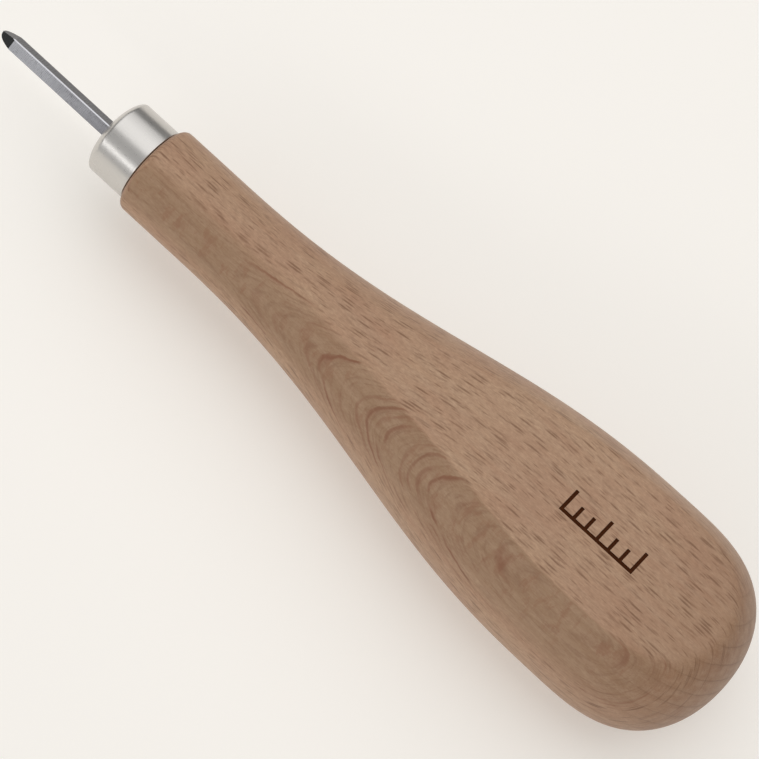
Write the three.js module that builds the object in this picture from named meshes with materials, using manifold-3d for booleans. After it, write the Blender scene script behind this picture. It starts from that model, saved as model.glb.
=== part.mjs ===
// Lino cutter: a narrow V-gouge blade fixed in a pear-shaped beech handle, with a domed
// metal ferrule round the front of the wood.
//
// Millimetres, +Z up. The tool lies along X with its cutting tip at -X and its butt at +X.
// The origin is under the middle of the tool's length, on the plane of the lower palm flat,
// and the tool's axis is parallel to X, one flat's distance above the origin.
// Inside the tool group, x is measured from the cutting tip and the axis is y = z = 0.
import * as THREE from "three";
import { mergeVertices } from "three/addons/utils/BufferGeometryUtils.js";
import Module from "manifold-3d";

// Lengths along the tool
const bladeReach = 23.3; // cutting tip to the front of the ferrule
const ferruleLength = 8.9;
const neckLength = 12.95; // straight wood behind the ferrule
const swellLength = 84.5; // neck to the widest section
const buttLength = 22.15; // widest section to the end of the wood

// Handle
const neckRadius = 7.9;
const bellyRadius = 17.7;
const swellRise = 2.3; // exponents of the swell's curve
const swellClose = 3.0;
const buttRound = 3.0; // exponents of the butt's curve
const buttClose = 2.1;
const shoulderRound = 1.2;
const palmFlat = 13.4; // axis to each flat, over the belly
const waistRise = 0.9; // how far outside the neck's surface the flats run out
const flatStart = 27.8; // shoulder to where the flats start to open out
const flatEase = 52; // length over which they reach palmFlat
const boreEndRoom = 3.5; // behind the end of the tang
const adhesiveWall = 0.6; // least adhesive round the steel, clearances included

// Ferrule
const ferruleRadius = 6.72;
const ferruleWall = 0.6;
const domeDepth = 2.1; // how far the front bulges ahead of the straight wall

// Blade
const cutWidth = 3.0; // across the two wings
const keelAngle = 105; // degrees between the wings' outer faces
const wingWall = 0.42;
const bevelLength = 2.5;
const pointLength = 2.6; // tip to where the wings reach their full width
const pointFullness = 0.36; // exponent of the point's outline: lower is blunter
const channelLength = 18.5;
const channelRunOut = 2.5;
const tangSide = 2.5;
const tangEndSide = 1.4;
const tangLength = 36;
const shankInside = 5; // V-shaped stock behind the ferrule's front
const tangOverlap = 2; // length over which the stock and the tang are one

// Clearances
const ferruleFit = 0.1; // tenon to ferrule, radially
const ferruleEndGap = 0.3; // tenon to the ferrule's front
const shoulderGap = 0.15; // ferrule to the shoulder of the wood
const bladeHoleFit = 0.15; // blade to the ferrule's hole
const bondGap = 0.1; // adhesive to wood and to steel
const adhesiveStart = 1.0; // wood left bare at the mouth of the bore

// Facets
const roundSegments = 72;
const swellSteps = 22;
const buttSteps = 14;
const domeSteps = 8;
const cornerSteps = 4;
const pointSteps = 6;
const easeSteps = 24;
const spare = 1; // how far a cutting shape passes the piece that it cuts

// Stations from the cutting tip
const ferruleFront = bladeReach;
const shoulder = ferruleFront + ferruleLength + shoulderGap;
const neckEnd = shoulder + neckLength;
const belly = neckEnd + swellLength;
const butt = belly + buttLength;
const tenonFront = ferruleFront + ferruleWall + ferruleEndGap;
const tenonRadius = ferruleRadius - ferruleWall - ferruleFit;
const waistFlat = neckRadius + waistRise;

// Blade section
const halfWidth = cutWidth / 2;
const halfKeelAngle = THREE.MathUtils.degToRad(keelAngle / 2);
const keelHeight = halfWidth / Math.tan(halfKeelAngle);
const channelHalfWidth = halfWidth - wingWall / Math.cos(halfKeelAngle);
const channelHeight = channelHalfWidth / Math.tan(halfKeelAngle);
const bevelAngle = Math.atan(wingWall / bevelLength);
const stockRadius = Math.hypot(halfWidth, keelHeight / 2);
const shankEnd = ferruleFront + shankInside;
const tangStart = shankEnd - tangOverlap;
const tangEnd = tangStart + tangLength;
const boreEnd = tangEnd + boreEndRoom;
const boreRadius = Math.max(stockRadius, tangSide / Math.SQRT2) + adhesiveWall;

const { Manifold, Mesh } = await loadManifold();

async function loadManifold() {
  const wasm = await Module();
  wasm.setup();
  return wasm;
}

// A closed geometry as a solid, and a solid back as a geometry.
function solid(geometry) {
  const bare = new THREE.BufferGeometry();
  bare.setAttribute("position", geometry.getAttribute("position"));
  bare.setIndex(geometry.index);
  const merged = mergeVertices(bare, 1e-4);
  return new Manifold(
    new Mesh({
      numProp: 3,
      vertProperties: new Float32Array(merged.getAttribute("position").array),
      triVerts: new Uint32Array(merged.index.array),
    }),
  );
}

function geometryOf(body) {
  const mesh = body.getMesh();
  const geometry = new THREE.BufferGeometry();
  geometry.setAttribute("position", new THREE.BufferAttribute(mesh.vertProperties, 3));
  geometry.setIndex(new THREE.BufferAttribute(mesh.triVerts, 1));
  geometry.computeVertexNormals();
  return geometry;
}

// Turns a profile of [x, radius] points round the tool's axis.
function turned(profile) {
  const points = profile.map(([x, radius]) => new THREE.Vector2(radius, x));
  return new THREE.LatheGeometry(points, roundSegments).rotateZ(-Math.PI / 2);
}

// Extrudes an outline of [y, z] points along X.
function barAlongX(outline, from, to) {
  const shape = new THREE.Shape(outline.map(([y, z]) => new THREE.Vector2(y, z)));
  const geometry = new THREE.ExtrudeGeometry(shape, { depth: to - from, bevelEnabled: false });
  geometry.rotateX(Math.PI / 2).rotateZ(Math.PI / 2);
  return geometry.translate(from, 0, 0);
}

// Extrudes an outline of [x, z] points both ways along Y.
function slabAcrossY(outline, halfDepth) {
  const shape = new THREE.Shape(outline.map(([x, z]) => new THREE.Vector2(x, z)));
  const geometry = new THREE.ExtrudeGeometry(shape, { depth: 2 * halfDepth, bevelEnabled: false });
  return geometry.rotateX(Math.PI / 2).translate(0, halfDepth, 0);
}

// Points from 0 to 1, the ends included.
function steps(count) {
  return Array.from({ length: count + 1 }, (_, i) => i / count);
}

// An elliptical dome from radius `inner` out to `radius`, its crown at x = front.
function domePoints(front, radius, inner) {
  const start = Math.asin(inner / radius);
  return steps(domeSteps).map((t) => {
    const angle = start + t * (Math.PI / 2 - start);
    return [front + domeDepth * (1 - Math.cos(angle)), radius * Math.sin(angle)];
  });
}

// Radius of the turned handle between the end of the neck and the belly.
function swellRadius(t) {
  return neckRadius + (bellyRadius - neckRadius) * (1 - (1 - t ** swellRise) ** swellClose);
}

function buttRadius(t) {
  return bellyRadius * (1 - t ** buttRound) ** (1 / buttClose);
}

// The turned outline, from the bottom of the bore, over the tenon and round to the butt.
function handleProfile() {
  const round = Math.min(shoulderRound, neckRadius - tenonRadius - ferruleFit);
  const corner = steps(cornerSteps).map((t) => [
    shoulder + round * (1 - Math.sin((t * Math.PI) / 2)),
    neckRadius - round * (1 - Math.cos((t * Math.PI) / 2)),
  ]);
  return [
    [boreEnd, 0],
    [boreEnd, boreRadius],
    ...domePoints(tenonFront, tenonRadius, boreRadius),
    [shoulder, tenonRadius],
    ...corner.reverse(),
    ...steps(swellSteps).map((t) => [neckEnd + t * swellLength, swellRadius(t)]),
    // Steps close up towards the butt, where the outline turns fastest.
    ...steps(buttSteps)
      .slice(1)
      .map((t) => Math.sin((t * Math.PI) / 2))
      .map((t) => [belly + t * buttLength, t < 1 ? buttRadius(t) : 0]),
  ];
}

// Everything above one palm flat: level over the belly, easing down towards the neck.
function flatCutter() {
  const easeStart = shoulder + flatStart;
  const top = bellyRadius + spare;
  const line = steps(easeSteps).map((t) => [
    easeStart + t * flatEase,
    waistFlat + ((palmFlat - waistFlat) * (1 - Math.cos(Math.PI * t))) / 2,
  ]);
  const outline = [...line, [butt + spare, palmFlat], [butt + spare, top], [easeStart, top]];
  return slabAcrossY(outline, bellyRadius + spare);
}

function makeHandle() {
  const upper = solid(flatCutter());
  const lower = solid(flatCutter().rotateX(Math.PI));
  return geometryOf(solid(turned(handleProfile())).subtract(upper).subtract(lower));
}

// A drawn cup with a domed front, a hole for the blade and an open back.
function makeFerrule() {
  const hole = stockRadius + bladeHoleFit;
  const rear = ferruleFront + ferruleLength;
  const inner = domePoints(ferruleFront + ferruleWall, ferruleRadius - ferruleWall, hole);
  const profile = [
    ...domePoints(ferruleFront, ferruleRadius, hole),
    [rear, ferruleRadius],
    [rear, ferruleRadius - ferruleWall],
    ...inner.reverse(),
  ];
  return turned([...profile, profile[0]]);
}

// The box above one wing's bevel: its lower face dips towards the tip from a line across
// the wing at bevelLength. side is 1 for the +Y wing and -1 for the other.
function bevelCutter(side) {
  const outward = new THREE.Vector3(0, side * Math.cos(halfKeelAngle), Math.sin(halfKeelAngle));
  const along = new THREE.Vector3(1, 0, 0);
  const back = along.clone().multiplyScalar(Math.cos(bevelAngle));
  back.addScaledVector(outward, Math.sin(bevelAngle));
  const across = new THREE.Vector3().crossVectors(outward, along).normalize();
  const up = new THREE.Vector3().crossVectors(back, across).normalize();
  const size = 2 * (cutWidth + bevelLength);
  const box = new THREE.BoxGeometry(size, size, size).translate(0, 0, size / 2);
  const place = new THREE.Matrix4().makeBasis(back, across, up);
  place.setPosition(bevelLength, 0, keelHeight / 2);
  return solid(box.applyMatrix4(place));
}

// The pointed outline that the wings are swept back to, seen from above the keel.
function pointOutline() {
  const end = tangEnd + spare;
  const wide = halfWidth + spare;
  // Steps close up towards the tip, where the outline turns fastest.
  const sweep = steps(pointSteps)
    .map((t) => t * t)
    .map((t) => [pointLength * t, halfWidth * t ** pointFullness]);
  const upper = [...sweep, [pointLength, wide], [end, wide]];
  const lower = upper.slice(1).map(([x, y]) => [x, -y]);
  return [...upper, ...lower.reverse()];
}

// The square tapered tang, grown by a clearance all round where it is used to cut.
function tangSolid(grow) {
  const cornerAtStart = (tangSide + 2 * grow) / Math.SQRT2;
  const cornerAtEnd = (tangEndSide + 2 * grow) / Math.SQRT2;
  const length = tangLength + 2 * grow;
  const geometry = new THREE.CylinderGeometry(cornerAtEnd, cornerAtStart, length, 4);
  geometry.rotateY(Math.PI / 4).rotateZ(-Math.PI / 2);
  return solid(geometry.translate(tangStart + tangLength / 2, 0, 0));
}

// V-gouge: keel up, channel open below, with a square tapered tang.
function makeBlade() {
  const wingsAt = -keelHeight / 2;
  const section = [
    [0, keelHeight / 2],
    [-halfWidth, wingsAt],
    [halfWidth, wingsAt],
  ];
  const belowWings = wingsAt - spare;
  const mouth = channelHalfWidth * (1 + spare / channelHeight);
  const channelSection = [
    [0, wingsAt + channelHeight],
    [-mouth, belowWings],
    [mouth, belowWings],
  ];
  const runOut = [
    [-spare, belowWings],
    [channelLength, belowWings],
    [channelLength, wingsAt],
    [channelLength - channelRunOut, wingsAt + channelHeight + spare],
    [-spare, wingsAt + channelHeight + spare],
  ];
  const plan = slabAcrossY(pointOutline(), cutWidth).rotateX(-Math.PI / 2);
  const channel = solid(barAlongX(channelSection, -spare, channelLength + spare));
  const gouge = solid(barAlongX(section, 0, shankEnd))
    .intersect(solid(plan))
    .subtract(bevelCutter(1))
    .subtract(bevelCutter(-1))
    .subtract(channel.intersect(solid(slabAcrossY(runOut, cutWidth))));
  return geometryOf(gouge.add(tangSolid(0)));
}

// Set adhesive that fills the bore round the shank and tang.
function makeAdhesive() {
  const from = tenonFront + adhesiveStart;
  const to = boreEnd - bondGap;
  const radius = boreRadius - bondGap;
  const plug = turned([
    [from, 0],
    [from, radius],
    [to, radius],
    [to, 0],
  ]);
  const room = stockRadius + bondGap;
  const shankRoom = turned([
    [from - spare, 0],
    [from - spare, room],
    [shankEnd + bondGap, room],
    [shankEnd + bondGap, 0],
  ]);
  return geometryOf(solid(plug).subtract(solid(shankRoom)).subtract(tangSolid(bondGap)));
}

const beech = new THREE.MeshStandardMaterial({ color: 0xb08a68, roughness: 0.55, metalness: 0 });
const nickel = new THREE.MeshStandardMaterial({ color: 0xc6c5c1, roughness: 0.3, metalness: 1 });
const steel = new THREE.MeshStandardMaterial({ color: 0x8e8f93, roughness: 0.35, metalness: 1 });
const resin = new THREE.MeshStandardMaterial({ color: 0xc9b27a, roughness: 0.4, metalness: 0 });

const tool = new THREE.Group();
tool.position.set(-butt / 2, 0, palmFlat);

function addPiece(name, geometry, material) {
  const mesh = new THREE.Mesh(geometry, material);
  mesh.name = name;
  tool.add(mesh);
}

addPiece("handle", makeHandle(), beech);
addPiece("ferrule", makeFerrule(), nickel);
addPiece("blade", makeBlade(), steel);
addPiece("tang_adhesive", makeAdhesive(), resin);

const linoCutter = new THREE.Group();
linoCutter.add(tool);

export default linoCutter;
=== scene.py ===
# %% [markdown]
# # A lino cutter, piece by piece
# A lino cutter is a small V-gouge in a pear-shaped wooden handle. The measured frame comes from the CAD
# model: it says where each piece is, and this lesson makes each piece's real surface around it. Everything is
# in metres in Blender, so lengths are written in millimetres and pass through one function.

# %% Load the frame
import math

import bmesh
import bpy
from mathutils import Euler, Matrix, Vector


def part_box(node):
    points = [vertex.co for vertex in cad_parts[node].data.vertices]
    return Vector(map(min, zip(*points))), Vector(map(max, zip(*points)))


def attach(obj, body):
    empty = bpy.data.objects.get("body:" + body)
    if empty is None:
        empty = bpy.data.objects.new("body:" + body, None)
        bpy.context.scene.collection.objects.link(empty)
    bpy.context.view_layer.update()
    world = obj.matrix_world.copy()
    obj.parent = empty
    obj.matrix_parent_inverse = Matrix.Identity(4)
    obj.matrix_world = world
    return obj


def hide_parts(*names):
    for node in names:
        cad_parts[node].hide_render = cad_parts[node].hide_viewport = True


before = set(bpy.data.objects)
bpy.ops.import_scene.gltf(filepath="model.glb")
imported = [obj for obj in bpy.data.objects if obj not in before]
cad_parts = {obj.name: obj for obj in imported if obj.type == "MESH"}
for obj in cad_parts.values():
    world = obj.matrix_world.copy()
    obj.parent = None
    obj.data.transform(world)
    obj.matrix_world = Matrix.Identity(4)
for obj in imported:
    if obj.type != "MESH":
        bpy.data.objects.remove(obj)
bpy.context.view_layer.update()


def mm(length):
    """Millimetres as Blender's metres."""
    return length / 1000


blade_low, blade_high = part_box("blade")
ferrule_low, ferrule_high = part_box("ferrule")
handle_low, handle_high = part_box("handle")
AXIS_HEIGHT = (handle_low.z + handle_high.z) / 2
TO_TOOL_AXIS = Matrix.Translation((blade_low.x, 0, AXIS_HEIGHT))

# %% [markdown]
# Every mesh below is built lying on its own axis, with x measured from the cutting tip, as a maker would
# measure it. One helper then carries it to its place in the frame, so that the finished object sits at the
# origin with no turn and no scale, and another tells the frame which solid it stands for.

# %% Turn a bmesh into a finished piece
def new_object(name, bm, to_place=TO_TOOL_AXIS):
    bm.transform(to_place)
    bmesh.ops.recalc_face_normals(bm, faces=bm.faces)
    mesh = bpy.data.meshes.new(name)
    bm.to_mesh(mesh)
    bm.free()
    piece = bpy.data.objects.new(name, mesh)
    bpy.context.scene.collection.objects.link(piece)
    return piece


def finish_piece(piece, node, materials, sharp_from=32):
    """Smooths the piece except at its sharp edges, gives it its finish and ties it to the frame."""
    bm = bmesh.new()
    bm.from_mesh(piece.data)
    for face in bm.faces:
        face.smooth = True
    for edge in bm.edges:
        edge.smooth = edge.is_manifold and edge.calc_face_angle(0) < math.radians(sharp_from)
    open_edges = sum(not edge.is_manifold for edge in bm.edges)
    triangles = sum(len(face.verts) - 2 for face in bm.faces)
    volume = round(bm.calc_volume() * 1e9)
    print(piece.name, triangles, "triangles,", open_edges, "open edges,", volume, "cubic mm")
    bm.to_mesh(piece.data)
    bm.free()
    for material in materials:
        piece.data.materials.append(material)
    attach(piece, "root")
    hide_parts(node)


def carve(piece, cutter, operation="DIFFERENCE"):
    """Applies an exact boolean with another mesh object, and throws that object away."""
    modifier = piece.modifiers.new("carve", "BOOLEAN")
    modifier.operation = operation
    modifier.solver = "EXACT"
    modifier.object = cutter
    evaluated = piece.evaluated_get(bpy.context.evaluated_depsgraph_get())
    carved = bpy.data.meshes.new_from_object(evaluated)
    piece.modifiers.clear()
    piece.data = carved
    bpy.data.objects.remove(cutter)


# %% [markdown]
# A turned piece starts as an outline in the plane of the axis. `spin` carries that outline round the axis, as
# the lathe does, and merges the last turn into the first. Points that lie on the axis close up into a pole.

# %% Turn an outline round the tool's axis
def turn(outline, steps):
    bm = bmesh.new()
    points = [bm.verts.new((mm(x), 0, mm(radius))) for x, radius in outline]
    for start, end in zip(points, points[1:]):
        bm.edges.new((start, end))
    bmesh.ops.spin(
        bm,
        geom=bm.verts[:] + bm.edges[:],
        cent=(0, 0, 0),
        axis=(1, 0, 0),
        angle=2 * math.pi,
        steps=steps,
        use_merge=True,
        use_duplicate=False,
    )
    bmesh.ops.remove_doubles(bm, verts=bm.verts, dist=mm(0.002))
    return bm


def fractions(count):
    return [i / count for i in range(count + 1)]


# %% [markdown]
# The camera looks down on the upper palm flat from in front and a little from the butt's side, with the tool
# lying aslant across the view. The tool's slope is a roll of the camera, so the tool itself stays level in
# its frame. A long lens from half a metre keeps the handle's proportions.

# %% Camera
FLAT_TILT = math.radians(23.5)  # between the flat's normal and the view, across the tool
BUTT_TILT = math.radians(7)  # how far the view leans towards the butt
TOOL_SLOPE = math.radians(42.5)  # how far the tool's axis falls to the right
CAMERA_DISTANCE = mm(500)
LENS_LENGTH = 153.6  # mm
SENSOR_WIDTH = 36  # mm
AIM_ALONG = mm(5.35)
AIM_ACROSS = mm(-0.46)

across = Vector((0, math.cos(FLAT_TILT), math.sin(FLAT_TILT)))
square_on = Vector((0, -math.sin(FLAT_TILT), math.cos(FLAT_TILT)))
towards_camera = square_on * math.cos(BUTT_TILT) + Vector((math.sin(BUTT_TILT), 0, 0))
along = Vector((math.cos(BUTT_TILT), 0, 0)) - square_on * math.sin(BUTT_TILT)
right = along * math.cos(TOOL_SLOPE) + across * math.sin(TOOL_SLOPE)
up = across * math.cos(TOOL_SLOPE) - along * math.sin(TOOL_SLOPE)
aim = Vector((AIM_ALONG, 0, AXIS_HEIGHT)) + across * AIM_ACROSS

camera_data = bpy.data.cameras.new("studio_camera")
camera_data.sensor_width = SENSOR_WIDTH
camera_data.lens = LENS_LENGTH
camera_data.clip_start = mm(10)
camera_data.clip_end = 20
camera = bpy.data.objects.new("studio_camera", camera_data)
camera_turn = Matrix((right, up, towards_camera)).transposed().to_4x4()
camera.matrix_world = Matrix.Translation(aim + towards_camera * CAMERA_DISTANCE) @ camera_turn
bpy.context.scene.collection.objects.link(camera)
bpy.context.scene.camera = camera
print("camera at", [round(v, 4) for v in camera.location])

# %% [markdown]
# Materials are small node trees. One function turns an ordinary colour value into the linear light that
# Blender computes with, and one function adds a node with its settings and its links. Most patterns start
# from the same cloudy noise, stretched to the size that the real grain or scratch has in millimetres.

# %% Colour and node helpers
def linear(hex_colour):
    """An sRGB hex colour as linear RGBA."""
    channels = [int(hex_colour[i : i + 2], 16) / 255 for i in (1, 3, 5)]
    return [c / 12.92 if c <= 0.04045 else ((c + 0.055) / 1.055) ** 2.4 for c in channels] + [1]


def add_node(owner, kind, inputs=None, stops=(), **settings):
    """Adds a node. inputs gives each input a value, a node (its first output) or one output of a node, and
    stops are a colour ramp's places and grey values."""
    tree = owner.node_tree
    node = tree.nodes.new(kind)
    for name, value in settings.items():
        setattr(node, name, value)
    for index, (place, value) in enumerate(stops):
        elements = node.color_ramp.elements
        element = elements[index] if index < 2 else elements.new(place)
        element.position = place
        element.color = (value, value, value, 1)
    for key, value in (inputs or {}).items():
        if isinstance(value, bpy.types.Node):
            value = value.outputs[0]
        if isinstance(value, bpy.types.NodeSocket):
            tree.links.new(value, node.inputs[key])
        else:
            node.inputs[key].default_value = value
    return node


def new_material(name):
    material = bpy.data.materials.new(name)
    material.use_nodes = True
    material.node_tree.nodes.clear()
    return material


def patches(material, place, size, shift=0.0, detail=2.0, roughness=0.5, unit=1.0):
    """Cloudy noise from 0 to 1, whose patches have this size along x, y and z."""
    cells = add_node(
        material,
        "ShaderNodeMapping",
        {"Vector": place, "Location": (shift,) * 3, "Scale": [1 / (unit * side) for side in size]},
        vector_type="POINT",
    )
    return add_node(
        material,
        "ShaderNodeTexNoise",
        {"Vector": cells, "Scale": 1.0, "Detail": detail, "Roughness": roughness},
    )


# %% [markdown]
# The studio is a pale sheet on the table, a dim grey room and two soft lights. A broad light overhead gives
# the flat its even tone, a low strip in front draws the bright line along the ferrule, and the sheet throws
# light back up under the round sides. Turned metal shows each of these as a band along its length.

# %% Floor
FLOOR_GLOW = 0.32  # light that comes up through the sheet
FLOOR_HALF = 1.5  # half of the sheet's side, in metres
floor_material = new_material("matt_paper_on_a_light_table")
shader = add_node(
    floor_material,
    "ShaderNodeBsdfPrincipled",
    {
        "Base Color": linear("#dedbd6"),
        "Roughness": 0.9,
        "Emission Color": linear("#fffaf2"),
        "Emission Strength": FLOOR_GLOW,
    },
)
add_node(floor_material, "ShaderNodeOutputMaterial", {"Surface": shader})
bm = bmesh.new()
bmesh.ops.create_grid(bm, x_segments=1, y_segments=1, size=FLOOR_HALF)
floor = new_object("paper_sheet", bm, Matrix.Identity(4))
floor.data.materials.append(floor_material)

# %% Room
BACK_WALL = 0.20  # how bright the room is behind the tool, towards +Y
FRONT_WALL = 0.50  # in front of it
SIDE_WALL = 0.22  # and beyond each end of the tool
room = bpy.data.worlds.new("studio_room")
room.use_nodes = True
room.node_tree.nodes.clear()
direction = add_node(room, "ShaderNodeSeparateXYZ", {0: add_node(room, "ShaderNodeTexCoord")})
sideways = add_node(room, "ShaderNodeMath", {0: direction.outputs["X"]}, operation="ABSOLUTE")
brightness = add_node(
    room,
    "ShaderNodeMapRange",
    {"Value": sideways, "From Min": 0.5, "From Max": 0.95, "To Min": FRONT_WALL, "To Max": SIDE_WALL},
)
brightness = add_node(
    room,
    "ShaderNodeMapRange",
    {
        "Value": direction.outputs["Y"],
        "From Min": 0.35,
        "From Max": 0.8,
        "To Min": brightness,
        "To Max": BACK_WALL,
    },
    interpolation_type="SMOOTHSTEP",
)
walls = add_node(room, "ShaderNodeBackground", {"Color": linear("#ffffff"), "Strength": brightness})
add_node(room, "ShaderNodeOutputWorld", {"Surface": walls})
bpy.context.scene.world = room
bpy.context.scene.view_settings.view_transform = "Standard"


# %% Lights
LIGHT_DISTANCE = 0.7  # from the tool's axis, in metres


def soft_light(name, from_vertical, along_tool, width, length, radiance):
    """A softbox parallel to the tool. from_vertical is in degrees from straight up, towards +Y."""
    lean = math.radians(from_vertical)
    data = bpy.data.lights.new(name, "AREA")
    data.shape = "RECTANGLE"
    data.size, data.size_y = length, width
    data.energy = radiance * math.pi * length * width
    light = bpy.data.objects.new(name, data)
    outward = Vector((0, math.sin(lean), math.cos(lean)))
    light.location = Vector((along_tool, 0, AXIS_HEIGHT)) + LIGHT_DISTANCE * outward
    light.rotation_euler = Euler((-lean, 0, 0))
    bpy.context.scene.collection.objects.link(light)
    print(name, round(data.energy, 2), "W")


soft_light("overhead_softbox", 24, -0.5, 1.0, 2.2, 0.77)
soft_light("front_strip", -61.5, -0.45, 0.13, 1.6, 1.7)

# %% [markdown]
# Steamed beech is a pinkish brown, fine and even wood. Most of its figure comes from its rays, thin ribbons
# of cells that run out from the middle of the tree and stand a few millimetres tall along the grain. A
# surface that cuts across the ribbons shows them as short dark dashes. A surface that lies along them, as
# the round swell does in front, cuts each one at a glancing angle, and shows it as a C-shaped arc or a
# reddish patch. Growth rings are only fine lines, square to the rays. Each pattern is made in the log's own
# directions, so it runs through the whole handle and every surface shows its own cut of it.

# %% Beech: the log's directions
RAY_LEAN = math.radians(48.5)  # from straight up to the direction across the rays, towards -Y
BEND, RIPPLE = 0.8, 0.26  # how far the grain wanders, in mm, in long waves and in short ones
beech = new_material("steamed_beech_turned_and_sanded")
place = add_node(beech, "ShaderNodeTexCoord")
# In millimetres from the tool's axis: x along the grain, y out from the middle of the tree and z across the
# rays.
log = add_node(
    beech,
    "ShaderNodeMapping",
    {
        "Vector": place.outputs["Object"],
        "Location": (0, 0, AXIS_HEIGHT),
        "Rotation": (RAY_LEAN, 0, 0),
        "Scale": (mm(1), mm(1), mm(1)),
    },
    vector_type="TEXTURE",
)
in_log = add_node(beech, "ShaderNodeSeparateXYZ", {0: log})
# Real grain wanders a little, so the distances across the rays and across the rings both carry this bend.
bend = add_node(beech, "ShaderNodeMath", {0: patches(beech, log, (11, 8, 8)), 1: BEND}, operation="MULTIPLY")
ripple = patches(beech, log, (2.4, 7, 4), 7.3, 3, 0.6)
bend = add_node(beech, "ShaderNodeMath", {0: ripple, 1: RIPPLE, 2: bend}, operation="MULTIPLY_ADD")
# How far the surface lies along the rays: 1 where it is parallel to them.
facing = add_node(
    beech,
    "ShaderNodeVectorMath",
    {0: place.outputs["Normal"], 1: (0, -math.sin(RAY_LEAN), math.cos(RAY_LEAN))},
    operation="DOT_PRODUCT",
)
facing = add_node(beech, "ShaderNodeMath", {0: facing.outputs["Value"]}, operation="ABSOLUTE")
# How squarely the grain is cut: 1 at the butt's end.
turned_to = add_node(beech, "ShaderNodeSeparateXYZ", {0: place.outputs["Normal"]})
end_grain = add_node(beech, "ShaderNodeMath", {0: turned_to.outputs["X"], 1: 2.0}, operation="POWER")

# %% Beech: rays cut at a glancing angle
RAY_LAYERS = 0.42  # mm between one sheet of rays and the next
depth = add_node(beech, "ShaderNodeMath", {0: in_log.outputs["Z"], 1: bend}, operation="ADD")
depth = add_node(beech, "ShaderNodeMath", {0: depth, 1: RAY_LAYERS}, operation="DIVIDE")
sheet = add_node(beech, "ShaderNodeMath", {0: depth}, operation="FLOOR")
in_sheet = add_node(beech, "ShaderNodeMath", {0: depth}, operation="FRACT")
strength = add_node(beech, "ShaderNodeTexWhiteNoise", {"W": sheet}, noise_dimensions="1D")
sheet_place = add_node(
    beech,
    "ShaderNodeCombineXYZ",
    {"X": in_log.outputs["X"], "Y": in_log.outputs["Y"], "Z": sheet},
)
breaks = patches(beech, sheet_place, (5, 5, 0.27), 0, 1)
arcs = add_node(
    beech,
    "ShaderNodeValToRGB",
    {"Fac": in_sheet},
    stops=((0.0, 0.0), (0.14, 0.9), (0.28, 1.0), (0.46, 0.25), (0.72, 0.0)),
)
# Each sheet has its own strength, is broken up along the grain, and shows as an arc where the surface lies
# nearly along it. Where the surface is quite parallel, at the neck and the belly, it is a patch instead.
for value, low, high in (
    (strength, 0.15, 0.75),
    (breaks, 0.38, 0.52),
    (facing, 0.78, 0.91),
    (end_grain, 0.0008, 0.006),
):
    arcs = add_node(
        beech, "ShaderNodeMapRange", {"Value": value, "From Min": low, "From Max": high, "To Max": arcs}
    )
fine_arcs = add_node(
    beech, "ShaderNodeMapRange", {"Value": facing, "From Min": 0.78, "From Max": 0.91, "To Max": 0.3}
)
blotches = add_node(
    beech, "ShaderNodeMapRange", {"Value": facing, "From Min": 0.92, "From Max": 0.985, "To Max": 0.42}
)

# %% Beech: rays cut across, as dashes
def dashes(size, shift, darkest):
    """Short dashes, one in each cell of this size, each with its own darkness."""
    cells = add_node(
        beech,
        "ShaderNodeMapping",
        {"Vector": log, "Location": (shift,) * 3, "Scale": [1 / side for side in size]},
        vector_type="POINT",
    )
    nearest = add_node(beech, "ShaderNodeTexVoronoi", {"Vector": cells, "Scale": 1.0}, feature="F1")
    body = add_node(
        beech,
        "ShaderNodeMapRange",
        {"Value": nearest.outputs["Distance"], "From Min": 0.42, "From Max": 0.18, "To Max": darkest},
    )
    own = add_node(beech, "ShaderNodeSeparateColor", {"Color": nearest.outputs["Color"]})
    return add_node(
        beech, "ShaderNodeMapRange", {"Value": own, "From Min": 0.1, "From Max": 0.7, "To Max": body}
    )


rays = add_node(
    beech,
    "ShaderNodeMath",
    {0: dashes((4.6, 8.0, 0.40), 0.0, 0.62), 1: dashes((2.7, 5.0, 0.27), 31.7, 0.46)},
    operation="MAXIMUM",
)
# They fade where the surface lies along the rays, and on end grain.
for value, low, high in ((facing, 0.95, 0.80), (end_grain, 1.3, 0.3)):
    rays = add_node(
        beech, "ShaderNodeMapRange", {"Value": value, "From Min": low, "From Max": high, "To Max": rays}
    )

# %% Beech: growth rings
RING_SPACING = 2.7  # mm
year = add_node(beech, "ShaderNodeMath", {0: in_log.outputs["Y"], 1: bend}, operation="ADD")
year = add_node(beech, "ShaderNodeMath", {0: year, 1: RING_SPACING}, operation="DIVIDE")
in_year = add_node(beech, "ShaderNodeMath", {0: year}, operation="FRACT")
ring = add_node(
    beech,
    "ShaderNodeValToRGB",
    {"Fac": in_year},
    stops=((0.0, 0.0), (0.30, 0.0), (0.52, 0.25), (0.60, 1.0), (0.66, 0.1), (1.0, 0.0)),
)
ring_shown = add_node(beech, "ShaderNodeMath", {0: end_grain, 1: 0.45, 2: 0.07}, operation="MULTIPLY_ADD")

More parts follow.
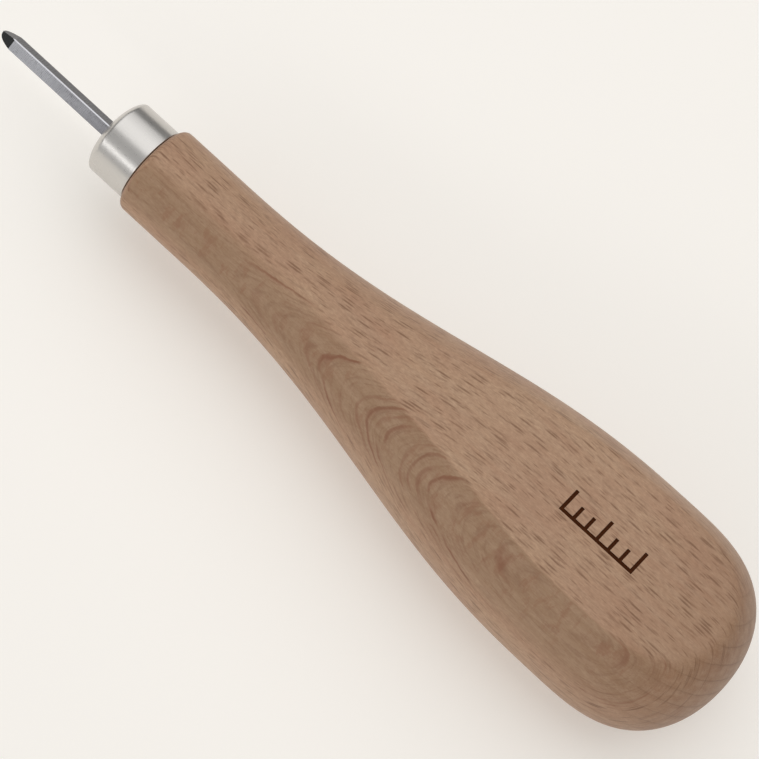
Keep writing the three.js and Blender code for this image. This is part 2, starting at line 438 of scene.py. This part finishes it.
# %% Beech: colour
# Pores are too fine to show, so these streaks are about twice their real width.
pores = patches(beech, log, (1.1, 0.13, 0.13), 3.9, 3, 0.6)
colour = linear("#be9577")
for pattern, low, high, amount, shade in (
    (patches(beech, log, (14, 6, 6), 9.1), 0.35, 0.65, 1.0, "#c6a181"),
    # Partly painted shade: the side lying along the rays is darker, part the quarter-cut tone of the wood and
    # part painted shade on the round side below the flat.
    (facing, 0.83, 0.95, 1.0, "#a78768"),
    # Painted shade: the wood darkens from 50 to 70 mm along x and on to the butt, where the light falls off.
    (in_log.outputs["X"], 50.0, 70.0, 0.45, "#936b4a"),
    (end_grain, 0.0, 0.9, 0.6, "#875a35"),
    (patches(beech, log, (14, 1.2, 1.2), 5.5, 3), 0.3, 0.7, 0.35, "#cdb093"),
    (patches(beech, log, (0.8, 0.4, 0.4), 1.7, 3, 0.7), 0.3, 0.7, 0.38, "#8b654b"),
    (pores, 0.3, 0.7, 0.40, "#8b654b"),
    (ring, 0.0, 1.0, ring_shown, "#67401f"),
    (patches(beech, log, (5, 4, 0.15), 2.2, 2, 0.6), 0.5, 0.68, fine_arcs, "#7a5238"),
    (patches(beech, log, (1.7, 4, 4), 4.4, 3, 0.6), 0.52, 0.64, blotches, "#8f5f43"),
    (arcs, 0.0, 1.0, 0.72, "#80492f"),
    (rays, 0.0, 1.0, 0.95, "#673f20"),
):
    mask = add_node(
        beech,
        "ShaderNodeMapRange",
        {"Value": pattern, "From Min": low, "From Max": high, "To Max": amount},
    )
    colour = add_node(
        beech, "ShaderNodeMix", {0: mask, 6: colour, 7: linear(shade)}, data_type="RGBA"
    ).outputs[2]

# %% Beech: surface
relief = add_node(beech, "ShaderNodeMath", {0: rays, 1: 1.5, 2: pores}, operation="MULTIPLY_ADD")
bump = add_node(
    beech, "ShaderNodeBump", {"Height": relief, "Strength": 0.35, "Distance": mm(0.05)}, invert=True
)
rough = add_node(beech, "ShaderNodeMath", {0: pores, 1: 0.2, 2: 0.46}, operation="MULTIPLY_ADD")
shader = add_node(
    beech,
    "ShaderNodeBsdfPrincipled",
    {"Base Color": colour, "Roughness": rough, "IOR": 1.45, "Sheen Weight": 0.10, "Normal": bump},
)
add_node(beech, "ShaderNodeOutputMaterial", {"Surface": shader})
print(beech.name, len(beech.node_tree.nodes), "nodes")

# %% [markdown]
# The handle is turned to a slim neck, a long swell and a blunt butt, and then sanded flat above and below so
# that it sits in the palm and doesn't roll. A spin makes the turned shape. The flats could be cut with a
# boolean, but sanding leaves a soft edge, so each point beyond a flat is pressed down to it through a smooth
# minimum instead, which rounds the crease as it goes.

# %% Handle sizes, in mm
FERRULE_FRONT = (ferrule_low.x - blade_low.x) * 1000
FERRULE_REAR = (ferrule_high.x - blade_low.x) * 1000
FERRULE_RADIUS = (ferrule_high.y - ferrule_low.y) * 500
BUTT = (handle_high.x - blade_low.x) * 1000
BELLY_RADIUS = (handle_high.y - handle_low.y) * 500
PALM_FLAT = (handle_high.z - handle_low.z) * 500
NECK_RADIUS = 7.9
NECK_LENGTH = 12.95
WAIST_FLAT = 8.8  # how high each flat starts above the axis
SHOULDER_GAP = 0.15  # between the ferrule and the shoulder
SHOULDER = FERRULE_REAR + SHOULDER_GAP
SHOULDER_ROUND = 1.2
NECK_END = SHOULDER + NECK_LENGTH
SWELL_LENGTH = 84.5
SWELL_RISE, SWELL_CLOSE = 2.3, 3.0  # how late the swell leaves the neck, and how soon it meets the belly
BELLY = NECK_END + SWELL_LENGTH
BUTT_LENGTH = BUTT - BELLY
BUTT_ROUND, BUTT_CLOSE = 3.0, 2.1  # how full the butt is at its side and at its end
FLAT_START = SHOULDER + 27.8
FLAT_EASE = 52
METAL_WALL = 0.6
DOME_DEPTH = 2.1
FERRULE_END_GAP = 0.3  # between the tenon and the dome inside
FERRULE_FIT = 0.1
TENON_FRONT = FERRULE_FRONT + METAL_WALL + FERRULE_END_GAP
TENON_RADIUS = FERRULE_RADIUS - METAL_WALL - FERRULE_FIT
print("tip to butt", round(BUTT, 2), "belly at", round(BELLY, 2), "flat from", round(FLAT_START, 2))

# %% Bore for the tang
CUT_WIDTH = (blade_high.y - blade_low.y) * 1000
HALF_KEEL = math.radians(52.5)  # between the middle of the V and each wing
KEEL_HEIGHT = (CUT_WIDTH / 2) / math.tan(HALF_KEEL)
STOCK_RADIUS = math.hypot(CUT_WIDTH / 2, KEEL_HEIGHT / 2)
SHANK_END = FERRULE_FRONT + 5
TANG_SIDE = 2.5
TANG_START = SHANK_END - 2
TANG_LENGTH = 36
ADHESIVE_WALL = 0.6
BORE_END_ROOM = 3.5
BORE_RADIUS = max(STOCK_RADIUS, TANG_SIDE / math.sqrt(2)) + ADHESIVE_WALL
BORE_END = TANG_START + TANG_LENGTH + BORE_END_ROOM
print("bore", round(2 * BORE_RADIUS, 2), "mm across, to", round(BORE_END, 2))

# %% Handle outline
CREASE = 0.11  # how soft the edge of a flat is over the belly, in mm
END_CREASE = 0.55  # and where the flat runs out into the butt
CREASE_EASE = 0.8  # the share of the butt over which it softens
PRESS_LEAD = 6  # how far ahead of the flat the pressing starts, in mm
NECK_STEPS, SWELL_STEPS, BUTT_STEPS, ROUND_STEPS = 24, 170, 64, 264


def dome(front, radius, inner, count):
    """An elliptical dome from radius inner out to radius, its crown at x = front."""
    start = math.asin(inner / radius)
    angles = [start + t * (math.pi / 2 - start) for t in fractions(count)]
    return [(front + DOME_DEPTH * (1 - math.cos(a)), radius * math.sin(a)) for a in angles]


def swell_radius(t):
    return NECK_RADIUS + (BELLY_RADIUS - NECK_RADIUS) * (1 - (1 - t**SWELL_RISE) ** SWELL_CLOSE)


def butt_radius(t):
    return BELLY_RADIUS * max(1 - t**BUTT_ROUND, 0) ** (1 / BUTT_CLOSE)


def flat_height(x):
    t = min(max((x - FLAT_START) / FLAT_EASE, 0), 1)
    return WAIST_FLAT + (PALM_FLAT - WAIST_FLAT) * (1 - math.cos(math.pi * t)) / 2


def crease_at(x):
    t = min(max((x - BELLY) / (BUTT_LENGTH * CREASE_EASE), 0), 1)
    return CREASE + (END_CREASE - CREASE) * t * t * (3 - 2 * t)


def pressed(height, limit, softness):
    """height, softly held under limit on both sides."""
    size = abs(height)
    beyond = (size - limit) / softness
    held = size - softness * (math.log1p(math.exp(-abs(beyond))) + max(beyond, 0))
    return math.copysign(max(held, 0), height)


# %% Handle
outline = [(BORE_END, 0), (BORE_END, BORE_RADIUS), *dome(TENON_FRONT, TENON_RADIUS, BORE_RADIUS, 10)]
outline.append((SHOULDER, TENON_RADIUS))
for t in fractions(8):
    ahead, inward = 1 - math.cos(t * math.pi / 2), 1 - math.sin(t * math.pi / 2)
    outline.append((SHOULDER + SHOULDER_ROUND * ahead, NECK_RADIUS - SHOULDER_ROUND * inward))
neck_start = SHOULDER + SHOULDER_ROUND
outline += [(neck_start + t * (NECK_END - neck_start), NECK_RADIUS) for t in fractions(NECK_STEPS)[1:]]
outline += [(NECK_END + t * SWELL_LENGTH, swell_radius(t)) for t in fractions(SWELL_STEPS)[1:]]
for step in fractions(BUTT_STEPS)[1:]:
    t = math.sin(step * math.pi / 2)
    outline.append((BELLY + t * BUTT_LENGTH, butt_radius(t)))
bm = turn(outline, ROUND_STEPS)
for vert in bm.verts:
    x = vert.co.x * 1000
    if x > FLAT_START - PRESS_LEAD:
        vert.co.z = mm(pressed(vert.co.z * 1000, flat_height(x), crease_at(x)))
handle = new_object("turned_handle", bm)

# %% [markdown]
# A maker burns a small mark into the flat to tell the cutters of a set apart. Here it is a plain gauge, like
# the edge of a rule, with one division for each half millimetre of the blade's cut, and no words or figures.
# A real burn sinks a little into the wood and chars it, so the mark is cut out of the handle as a shallow
# recess, and the faces of the recess take a charred finish.

# %% Charred wood
charred = new_material("beech_charred_by_a_hot_stamp")
place = add_node(charred, "ShaderNodeTexCoord")
fibres = patches(charred, place.outputs["Object"], (0.7, 0.16, 0.16), 0, 3, unit=mm(1))
shade = add_node(
    charred, "ShaderNodeMix", {0: fibres, 6: linear("#2c1103"), 7: linear("#532a10")}, data_type="RGBA"
)
bump = add_node(charred, "ShaderNodeBump", {"Height": fibres, "Strength": 0.5, "Distance": mm(0.04)})
shader = add_node(
    charred,
    "ShaderNodeBsdfPrincipled",
    {"Base Color": shade.outputs[2], "Roughness": 0.9, "IOR": 1.2, "Normal": bump},
)
add_node(charred, "ShaderNodeOutputMaterial", {"Surface": shader})

# %% Burnt mark, in mm
MARK_CENTRE = 123.1  # from the tip
MARK_LENGTH = 14.5
MARK_FOOT, SHORT_TICK, LONG_TICK = -2.1, 0.7, 2.2
STROKE = 0.6
DIVISION = 0.5  # of the cut
LONG_EVERY = 3
BURN_DEPTH = 0.14
STAMP_ABOVE = 0.5  # how far the stamp stands out of the flat
half_mark = MARK_LENGTH / 2
divisions = round(CUT_WIDTH / DIVISION)
pitch = (MARK_LENGTH - STROKE) / divisions
rail = MARK_FOOT + STROKE
gauge = [(-half_mark, MARK_FOOT), (half_mark, MARK_FOOT)]
for tick in reversed(range(divisions + 1)):
    left = tick * pitch - half_mark
    top = SHORT_TICK if tick % LONG_EVERY else LONG_TICK
    gauge += [(left + STROKE, rail), (left + STROKE, top), (left, top), (left, rail)]
# The stamp reaches from above the flat down into the wood.
bm = bmesh.new()
above = mm(PALM_FLAT + STAMP_ABOVE)
face = bm.faces.new([bm.verts.new((mm(MARK_CENTRE + x), mm(y), above)) for x, y in gauge])
made = bmesh.ops.extrude_face_region(bm, geom=[face])
lower = [item for item in made["geom"] if isinstance(item, bmesh.types.BMVert)]
bmesh.ops.translate(bm, verts=lower, vec=(0, 0, mm(-BURN_DEPTH - STAMP_ABOVE)))
carve(handle, new_object("stamp", bm))
print("gauge of", divisions, "divisions,", round(pitch, 2), "mm each")

# %% Char the recess
MARK_ROOM = 0.2  # how far past the mark's ends to look for its faces
MARK_REACH = 4  # and to each side of the middle
mark_top = AXIS_HEIGHT + mm(PALM_FLAT - 0.01)
mark_x = blade_low.x + mm(MARK_CENTRE)
for face in handle.data.polygons:
    beside = abs(face.center.x - mark_x) < mm(half_mark + MARK_ROOM)
    within = abs(face.center.y) < mm(MARK_REACH)
    if beside and within and AXIS_HEIGHT < face.center.z < mark_top:
        face.material_index = 1
print(sum(face.material_index for face in handle.data.polygons), "charred faces")
finish_piece(handle, "handle", [beech, charred])

# %% [markdown]
# The ferrule is drawn from thin sheet in one stroke: a cup with a bulged front, a hole for the blade and an
# open back. Bright nickel is plated over a fine tumbled surface, so it reflects the room in soft bands.

# %% Nickel plate
nickel = new_material("nickel_plated_steel_satin")
place = add_node(nickel, "ShaderNodeTexCoord")
fine = patches(nickel, place.outputs["Object"], (1.2, 0.25, 0.25), 0, 4, 0.6, unit=mm(1))
rough = add_node(nickel, "ShaderNodeMath", {0: fine, 1: 0.12, 2: 0.23}, operation="MULTIPLY_ADD")
bump = add_node(nickel, "ShaderNodeBump", {"Height": fine, "Strength": 0.12, "Distance": mm(0.01)})
shader = add_node(
    nickel,
    "ShaderNodeBsdfPrincipled",
    {"Base Color": linear("#cfccc8"), "Metallic": 1.0, "Roughness": rough, "Normal": bump},
)
add_node(nickel, "ShaderNodeOutputMaterial", {"Surface": shader})

# %% Ferrule
BLADE_HOLE_FIT = 0.15  # mm all round the blade
RIM_BACK, RIM_IN = 0.12, 0.1  # how the rear edge is broken, along the axis and across it
FERRULE_STEPS = 160
hole_radius = STOCK_RADIUS + BLADE_HOLE_FIT
outline = dome(FERRULE_FRONT, FERRULE_RADIUS, hole_radius, 28)
outline += [(FERRULE_REAR - RIM_BACK, FERRULE_RADIUS), (FERRULE_REAR, FERRULE_RADIUS - RIM_IN)]
outline += [(FERRULE_REAR, FERRULE_RADIUS - METAL_WALL)]
outline += reversed(dome(FERRULE_FRONT + METAL_WALL, FERRULE_RADIUS - METAL_WALL, hole_radius, 20))
ferrule = new_object("drawn_ferrule", turn([*outline, outline[0]], FERRULE_STEPS))
finish_piece(ferrule, "ferrule", [nickel])

# %% [markdown]
# The blade is one bar of tool steel, ground to a V with its keel upwards. Its section never changes until the
# bevels, so it is extruded along its length, with the channel running out before the ferrule. Each ground
# face has its own colour, and most of it is painted light: the wing behind, left from a coarse wheel, is
# painted darker as a painted shade for the dark room it reflects; the bevel in front, finished on a hone, is
# painted nearly black as a painted dark reflection where it faces no light; and the rubbed flat on the keel
# and the rims are painted bright as painted highlights.

# %% Blade steel
steel = new_material("hardened_tool_steel_ground")
place = add_node(steel, "ShaderNodeTexCoord")
at = add_node(steel, "ShaderNodeSeparateXYZ", {0: place.outputs["Object"]})
turned_to = add_node(steel, "ShaderNodeSeparateXYZ", {0: place.outputs["Normal"]})
grinding = patches(steel, place.outputs["Object"], (0.14, 2.5, 2.5), 0, 3, 0.6, unit=mm(1))
# The bevel in front, finished on a hone, leans to the tip, faces the front and still looks up, unlike the rim
# of the point; this mask finds it by those turns, and it is painted nearly black, a painted dark reflection.
honed_bevel_painted_dark = 1.0
for axis, low, high in (("X", -0.06, -0.12), ("Y", 0.0, -0.3), ("Z", 0.5, 0.7)):
    honed_bevel_painted_dark = add_node(
        steel,
        "ShaderNodeMapRange",
        {"Value": turned_to.outputs[axis], "From Min": low, "From Max": high, "To Max": honed_bevel_painted_dark},
    )
tip_x = blade_low.x
colour = linear("#a9a9ad")
for pattern, low, high, amount, shade in (
    (at.outputs["X"], tip_x + mm(9), tip_x + mm(21), 1.0, "#858488"),
    (patches(steel, place.outputs["Object"], (3.0, 1.0, 1.0), 7.1, 3, unit=mm(1)), 0.3, 0.7, 0.3, "#c4c4c8"),
    # Painted shade: the wing behind, turned to +Y, is painted darker for the dark room it reflects, over its
    # coarser grind.
    (turned_to.outputs["Y"], 0.35, 0.5, 1.0, "#77777a"),
    (patches(steel, place.outputs["Object"], (0.5, 0.5, 0.5), 3.3, 3, unit=mm(1)), 0.6, 0.7, 0.35, "#6a6a6c"),
    # Painted dark reflection: the bevel in front is painted nearly black.
    (honed_bevel_painted_dark, 0.0, 1.0, 1.0, "#343535"),
    # Painted highlight: the rubbed flat on the keel, looking straight up, is painted brighter.
    (turned_to.outputs["Z"], 0.9, 0.97, 1.0, "#c8c8cc"),
    # Painted highlight: faces that look sideways or down, such as the lower edges of the wings and the rim of
    # the point, are painted near white.
    (turned_to.outputs["Z"], 0.4, 0.1, 1.0, "#e8e8ec"),
):
    mask = add_node(
        steel,
        "ShaderNodeMapRange",
        {"Value": pattern, "From Min": low, "From Max": high, "To Max": amount},
    )
    colour = add_node(
        steel, "ShaderNodeMix", {0: mask, 6: colour, 7: linear(shade)}, data_type="RGBA"
    ).outputs[2]
rough = add_node(steel, "ShaderNodeMath", {0: grinding, 1: 0.16, 2: 0.20}, operation="MULTIPLY_ADD")
bump = add_node(steel, "ShaderNodeBump", {"Height": grinding, "Strength": 0.25, "Distance": mm(0.01)})
shader = add_node(
    steel,
    "ShaderNodeBsdfPrincipled",
    {"Base Color": colour, "Metallic": 1.0, "Roughness": rough, "Normal": bump},
)
add_node(steel, "ShaderNodeOutputMaterial", {"Surface": shader})

# %% Blade sizes, in mm
WING_WALL = 0.42
BEVEL_LENGTH = 2.5
POINT_LENGTH = 2.6
POINT_FULLNESS = 0.36  # lower is blunter
POINT_CUTS = 9
CHANNEL_LENGTH = 18.5
CHANNEL_RUN_OUT = 2.5
KEEL_RUB = 0.15  # how far down each side the keel is rubbed
half = CUT_WIDTH / 2
keel_z, wing_z = KEEL_HEIGHT / 2, -KEEL_HEIGHT / 2
channel_half = half - WING_WALL / math.cos(HALF_KEEL)
channel_z = wing_z + channel_half / math.tan(HALF_KEEL)


# %% Blade bar
def extrude_to(bm, face, x, keep=False):
    """Carries the section on to x and gives its new face. The old one is inside the bar unless it is kept."""
    made = bmesh.ops.extrude_face_region(bm, geom=[face])
    for item in made["geom"]:
        if isinstance(item, bmesh.types.BMVert):
            item.co.x = mm(x)
    if not keep and face.is_valid:
        bmesh.ops.delete(bm, geom=[face], context="FACES_ONLY")
    return next(item for item in made["geom"] if isinstance(item, bmesh.types.BMFace))


bm = bmesh.new()
section = [(0, keel_z), (half, wing_z), (channel_half, wing_z), (0, channel_z)]
section += [(-channel_half, wing_z), (-half, wing_z)]
face = bm.faces.new([bm.verts.new((0, mm(y), mm(z))) for y, z in section])
face = extrude_to(bm, face, CHANNEL_LENGTH - CHANNEL_RUN_OUT, keep=True)
face = extrude_to(bm, face, CHANNEL_LENGTH)
for vert in face.verts:
    if abs(vert.co.y) < mm(0.01) and vert.co.z < mm(keel_z - 0.1):
        vert.co.z = mm(wing_z)
extrude_to(bm, face, SHANK_END)
keel = [edge for edge in bm.edges if min(vert.co.z for vert in edge.verts) > mm(keel_z - 0.01)]
bmesh.ops.bevel(bm, geom=keel, offset=mm(KEEL_RUB), affect="EDGES", segments=1, profile=0.5, material=-1)
print("bar has", sum(not edge.is_manifold for edge in bm.edges), "open edges")


# %% Grind the bevels and the point
def grind_off(bm, point, outward):
    """Takes away everything beyond a plane, and closes the cut."""
    bmesh.ops.bisect_plane(
        bm,
        geom=bm.verts[:] + bm.edges[:] + bm.faces[:],
        dist=mm(0.0005),
        plane_co=point,
        plane_no=outward,
        clear_outer=True,
    )
    bmesh.ops.holes_fill(bm, edges=[edge for edge in bm.edges if edge.is_boundary])


bevel_angle = math.atan(WING_WALL / BEVEL_LENGTH)
for side in (1, -1):
    wing_out = Vector((0, side * math.cos(HALF_KEEL), math.sin(HALF_KEEL)))
    outward = wing_out * math.cos(bevel_angle) - Vector((math.sin(bevel_angle), 0, 0))
    grind_off(bm, Vector((mm(BEVEL_LENGTH), 0, mm(keel_z))), outward)
    sweep = [(POINT_LENGTH * t * t, half * t ** (2 * POINT_FULLNESS)) for t in fractions(POINT_CUTS)]
    for (x0, y0), (x1, y1) in zip(sweep, sweep[1:]):
        grind_off(bm, Vector((mm(x0), mm(side * y0), 0)), Vector((y0 - y1, side * (x1 - x0), 0)))
blade = new_object("v_gouge_blade", bm)

# %% Tang
TANG_END_SIDE = 1.4
bm = bmesh.new()
bmesh.ops.create_cone(
    bm,
    cap_ends=True,
    segments=4,
    radius1=mm(TANG_SIDE / math.sqrt(2)),
    radius2=mm(TANG_END_SIDE / math.sqrt(2)),
    depth=mm(TANG_LENGTH),
    matrix=Matrix.Translation((mm(TANG_START + TANG_LENGTH / 2), 0, 0))
    @ Matrix.Rotation(math.pi / 2, 4, "Y")
    @ Matrix.Rotation(math.pi / 4, 4, "Z"),
)
carve(blade, new_object("tang", bm), "UNION")
finish_piece(blade, "blade", [steel], sharp_from=5)

# %% [markdown]
# Set adhesive holds the shank and the tang in the bore. It is sealed inside the wood, so its CAD shape is
# right as it is and takes only its finish: an amber cast resin with a few clouds in it.

# %% Adhesive
resin = new_material("set_epoxy_amber_cast")
place = add_node(resin, "ShaderNodeTexCoord")
clouds = patches(resin, place.outputs["Object"], (4, 4, 4), 0, 3, unit=mm(1))
amber = add_node(
    resin, "ShaderNodeMix", {0: clouds, 6: linear("#c9b27a"), 7: linear("#b3935a")}, data_type="RGBA"
)
shader = add_node(
    resin, "ShaderNodeBsdfPrincipled", {"Base Color": amber.outputs[2], "Roughness": 0.35, "IOR": 1.55}
)
add_node(resin, "ShaderNodeOutputMaterial", {"Surface": shader})
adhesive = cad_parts["tang_adhesive"]
adhesive.data.materials.clear()
adhesive.data.materials.append(resin)
print(adhesive.name, "takes", resin.name)
